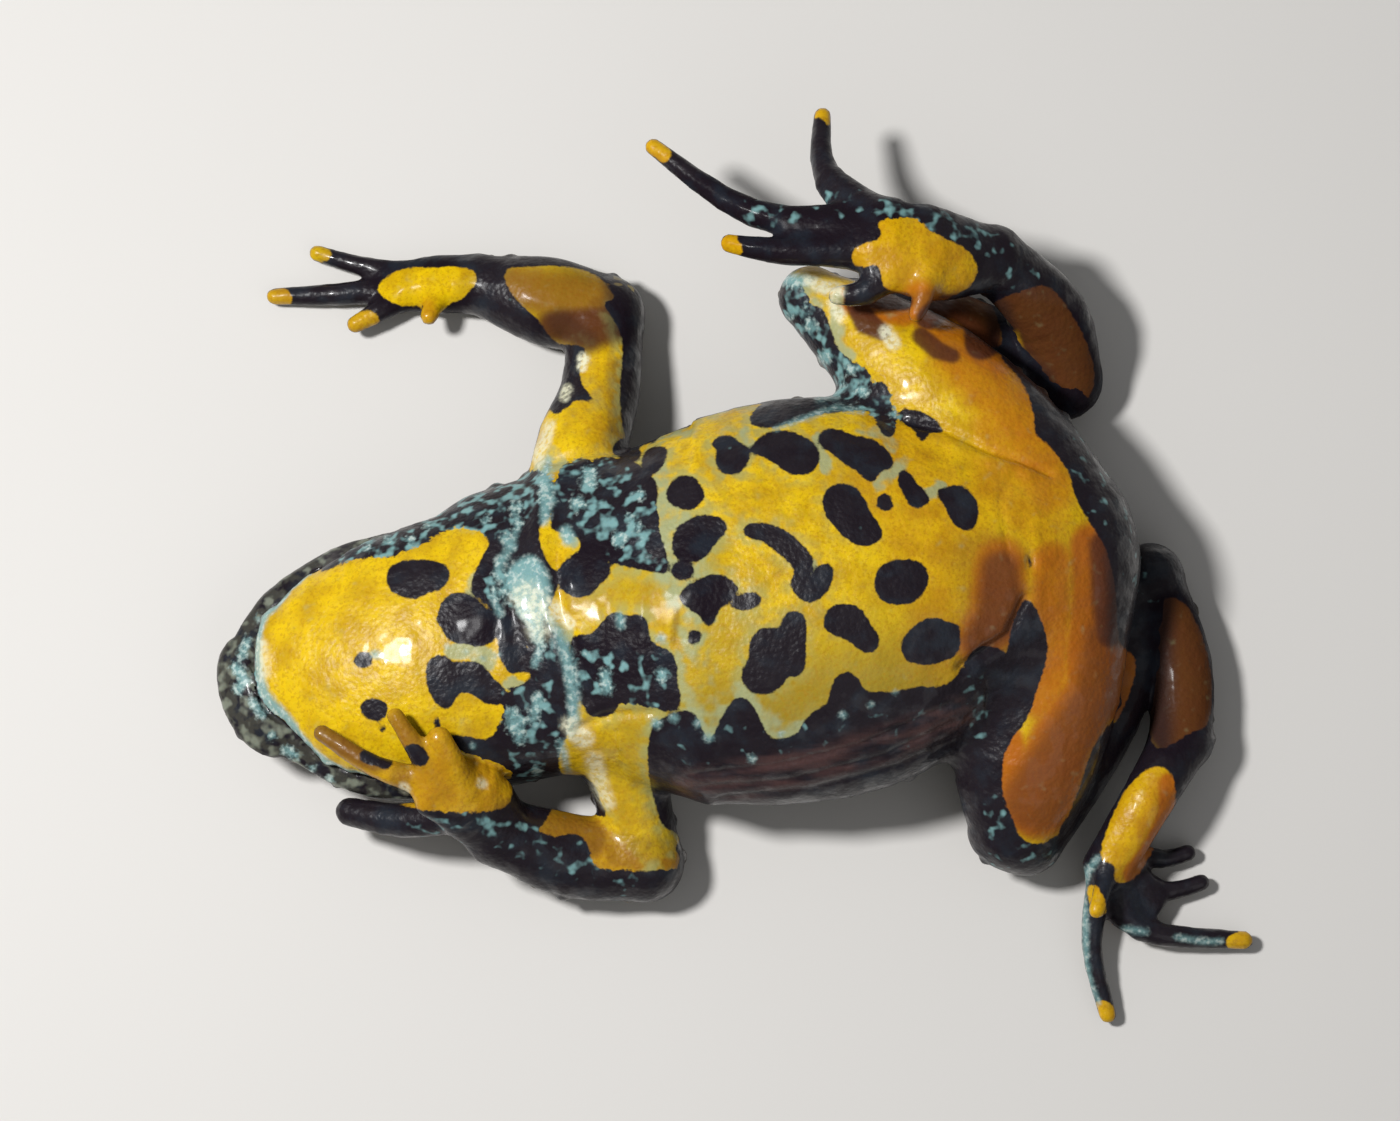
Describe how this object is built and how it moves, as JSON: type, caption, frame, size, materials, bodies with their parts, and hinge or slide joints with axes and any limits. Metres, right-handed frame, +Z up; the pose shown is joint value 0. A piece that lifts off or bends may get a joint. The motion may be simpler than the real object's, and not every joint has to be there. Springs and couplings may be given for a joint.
{
  "type": "fire bellied toad",
  "caption": "Small fire bellied toad, life size, a still model lying on its back with the yellow and black belly up, limbs spread and bent",
  "frame": {"origin": "middle of the model's bounding box, on the floor plane that the back, head, elbows, shanks and feet rest on", "axes": "+X runs from the snout to the rump, +Y towards the animal's left side, +Z up out of the belly"},
  "size_m": [0.0312, 0.0274, 0.0072],
  "materials": {
    "throat_skin": "wet finely granular skin, bright yellow blotched with purple-black and grey-blue",
    "belly_skin": "wet finely granular skin, yellow with purple-black blotches, olive and warty on the back",
    "limb_skin": "wet skin, orange-yellow inner sides, black outer sides with pale specks",
    "digit_skin": "wet black skin with amber bands and tips",
    "eye": "wet golden iris with a dark heart-shaped pupil"
  },
  "bodies": {
    "root": {"head": "throat_skin", "left_eye": "eye", "left_finger_1": "digit_skin", "left_finger_2": "digit_skin", "left_finger_3": "digit_skin", "left_finger_4": "digit_skin", "left_foot": "limb_skin", "left_forearm": "limb_skin", "left_hand": "limb_skin", "left_shank": "limb_skin", "left_tarsus": "limb_skin", "left_thigh": "limb_skin", "left_toe_1": "digit_skin", "left_toe_2": "digit_skin", "left_toe_3": "digit_skin", "left_toe_4": "digit_skin", "left_toe_5": "digit_skin", "left_upper_arm": "limb_skin", "right_eye": "eye", "right_finger_1": "digit_skin", "right_finger_2": "digit_skin", "right_finger_3": "digit_skin", "right_finger_4": "digit_skin", "right_foot": "limb_skin", "right_forearm": "limb_skin", "right_hand": "limb_skin", "right_shank": "limb_skin", "right_tarsus": "limb_skin", "right_thigh": "limb_skin", "right_toe_1": "digit_skin", "right_toe_2": "digit_skin", "right_toe_3": "digit_skin", "right_toe_4": "digit_skin", "right_toe_5": "digit_skin", "right_upper_arm": "limb_skin", "torso": "belly_skin"}
  },
  "joints": []
}
